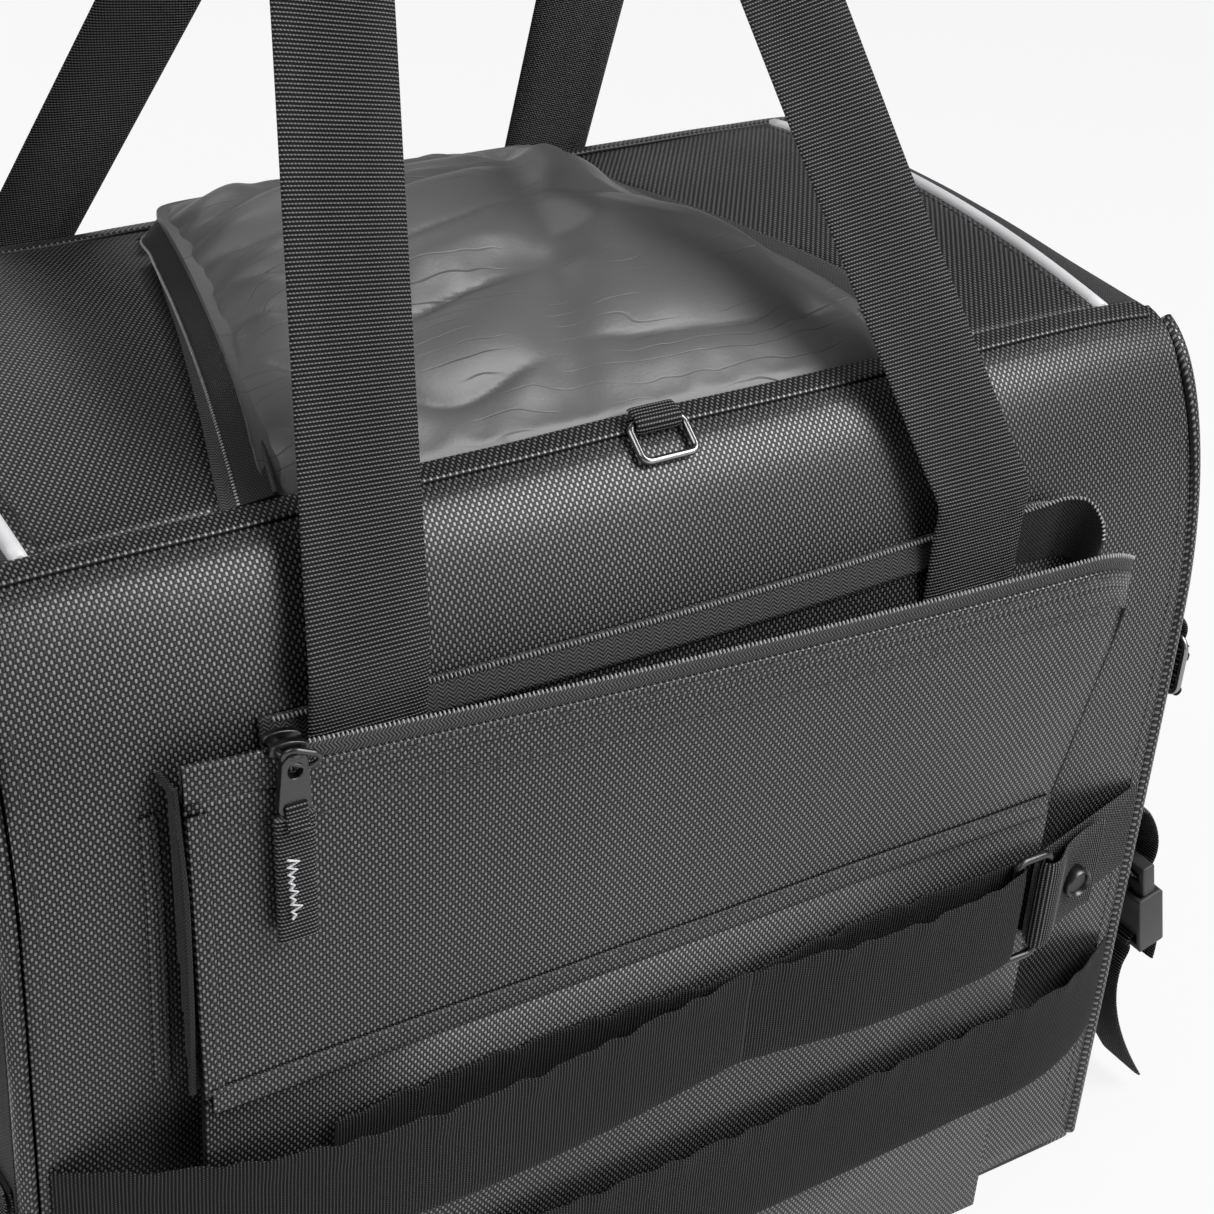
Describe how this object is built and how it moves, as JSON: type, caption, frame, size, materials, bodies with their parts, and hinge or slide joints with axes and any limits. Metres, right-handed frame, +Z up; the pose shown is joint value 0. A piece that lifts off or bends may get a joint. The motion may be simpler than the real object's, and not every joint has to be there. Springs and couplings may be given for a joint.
{
  "type": "tail bag",
  "caption": "Soft motorcycle tail bag: upright black nylon body with a zipped vinyl lid, open front zip pocket, mounting straps, twin carrying handles and side buckles.",
  "frame": {"origin": "middle of the base panel's underside", "axes": "+Z up, the pocket side faces -Y, +X to the bag's right as the pocket side is seen"},
  "size_m": [0.5254, 0.313, 0.542],
  "materials": {
    "nylon": "coarse ballistic weave, matt black with paler yarn crowns",
    "side_cloth": "finer matt black weave",
    "vinyl": "dark grey satin vinyl with soft creases",
    "webbing": "ribbed black webbing",
    "loop_tape": "matt black hook-and-loop strap with a fine rib",
    "zip_tape": "black herringbone zip tape",
    "reflective": "silver-white reflective piping",
    "dark_metal": "dark gunmetal plate",
    "bright_metal": "nickel-plated steel wire",
    "buckle_plastic": "moulded black plastic",
    "board": "plain stiffener board"
  },
  "bodies": {
    "bag": {"base_board": "board", "base_panel": "nylon", "front_left_handle_foot": "webbing", "front_left_piping": "side_cloth", "front_panel": "nylon", "front_right_handle_foot": "webbing", "front_right_piping": "side_cloth", "left_buckle_female": "buckle_plastic", "left_buckle_web": "webbing", "left_flap_gusset": "side_cloth", "left_reflective_piping": "reflective", "left_ring_loop": "webbing", "left_side_panel": "side_cloth", "left_tie_strap": "webbing", "lid_gusset_lower": "zip_tape", "lower_mount_strap": "loop_tape", "pocket_gusset": "side_cloth", "pocket_lower_panel": "nylon", "pocket_zip_back": "zip_tape", "rear_left_handle_foot": "webbing", "rear_left_piping": "side_cloth", "rear_panel": "nylon", "rear_right_handle_foot": "webbing", "rear_right_piping": "side_cloth", "right_buckle_female": "buckle_plastic", "right_buckle_web": "webbing", "right_flap_gusset": "side_cloth", "right_reflective_piping": "reflective", "right_ring_loop": "webbing", "right_side_panel": "side_cloth", "right_tie_strap": "webbing", "ring_loop": "webbing", "ring_tab_base": "webbing", "snap_stud": "dark_metal", "strap_ring": "bright_metal", "top_panel": "nylon", "upper_mount_strap": "loop_tape", "wall_board": "board"},
    "lid": {"lid_vinyl": "vinyl", "lid_gusset_upper": "zip_tape"},
    "lid_slider": {"lid_slider": "dark_metal"},
    "lid_pull": {"lid_pull": "dark_metal"},
    "pocket_flap": {"pocket_flap": "nylon", "pocket_zip_front": "zip_tape"},
    "pocket_slider": {"pocket_slider": "dark_metal"},
    "pocket_pull": {"pocket_pull_tab": "dark_metal", "pocket_pull_web": "webbing"},
    "front_handle": {"front_handle_left_strap": "webbing", "front_handle_right_strap": "webbing", "front_grip": "webbing"},
    "rear_handle": {"rear_handle_left_strap": "webbing", "rear_handle_right_strap": "webbing", "rear_grip": "webbing"},
    "top_ring": {"top_ring": "dark_metal"},
    "snap_tab": {"ring_tab_flap": "webbing", "snap_cap": "dark_metal"},
    "left_ring": {"left_side_ring": "dark_metal"},
    "right_ring": {"right_side_ring": "dark_metal"},
    "left_buckle": {"left_buckle_male": "buckle_plastic"},
    "right_buckle": {"right_buckle_male": "buckle_plastic"}
  },
  "joints": [
    {"name": "lid_hinge", "type": "hinge", "parent": "bag", "child": "lid", "pos_m": [0, -0.096, 0.3623], "axis": [1, 0, 0], "range_deg": [0, 100]},
    {"name": "lid_slider_slide", "type": "slide", "parent": "lid", "child": "lid_slider", "axis": [-1, 0, 0], "range_m": [0, 0.06]},
    {"name": "lid_pull_swing", "type": "hinge", "parent": "lid_slider", "child": "lid_pull", "pos_m": [0.03, 0.08619, 0.36554], "axis": [0, 0.5129, -0.8584], "range_deg": [0, 160]},
    {"name": "front_handle_swing", "type": "hinge", "parent": "bag", "child": "front_handle", "pos_m": [0, -0.1389, 0.326], "axis": [1, 0, 0], "range_deg": [0, 100]},
    {"name": "rear_handle_swing", "type": "hinge", "parent": "bag", "child": "rear_handle", "pos_m": [0, 0.1389, 0.326], "axis": [-1, 0, 0], "range_deg": [0, 140]},
    {"name": "pocket_flap_hinge", "type": "hinge", "parent": "bag", "child": "pocket_flap", "pos_m": [0, -0.15275, 0.2], "axis": [1, 0, 0], "range_deg": [-2, 0]},
    {"name": "pocket_slider_slide", "type": "slide", "parent": "pocket_flap", "child": "pocket_slider", "axis": [0.9964, -0.0851, 0], "range_m": [0, 0.28]},
    {"name": "pocket_pull_swing", "type": "hinge", "parent": "pocket_slider", "child": "pocket_pull", "pos_m": [-0.14049, -0.15009, 0.31], "axis": [-1, 0, 0], "range_deg": [0, 150]},
    {"name": "top_ring_swing", "type": "hinge", "parent": "bag", "child": "top_ring", "pos_m": [0.004, -0.10434, 0.35834], "axis": [-1, 0, 0], "range_deg": [0, 90]},
    {"name": "snap_tab_hinge", "type": "hinge", "parent": "bag", "child": "snap_tab", "pos_m": [0.1505, -0.1599, 0.16], "axis": [0, 0, -1], "range_deg": [0, 100]},
    {"name": "left_ring_swing", "type": "hinge", "parent": "bag", "child": "left_ring", "pos_m": [-0.2327, -0.1185, 0.23], "axis": [0, 1, 0], "range_deg": [0, 110]},
    {"name": "right_ring_swing", "type": "hinge", "parent": "bag", "child": "right_ring", "pos_m": [0.2327, -0.1185, 0.23], "axis": [0, -1, 0], "range_deg": [0, 110]},
    {"name": "left_buckle_release", "type": "slide", "parent": "bag", "child": "left_buckle", "axis": [0.2419, 0, 0.9703], "range_m": [0, 0.017], "deforming": ["left_buckle_web"]},
    {"name": "right_buckle_release", "type": "slide", "parent": "bag", "child": "right_buckle", "axis": [-0.2419, 0, 0.9703], "range_m": [0, 0.017], "deforming": ["right_buckle_web"]}
  ],
  "couplings": [
    {"joint": "front_handle_swing", "follows": "lid_hinge", "ratio": 1}
  ]
}
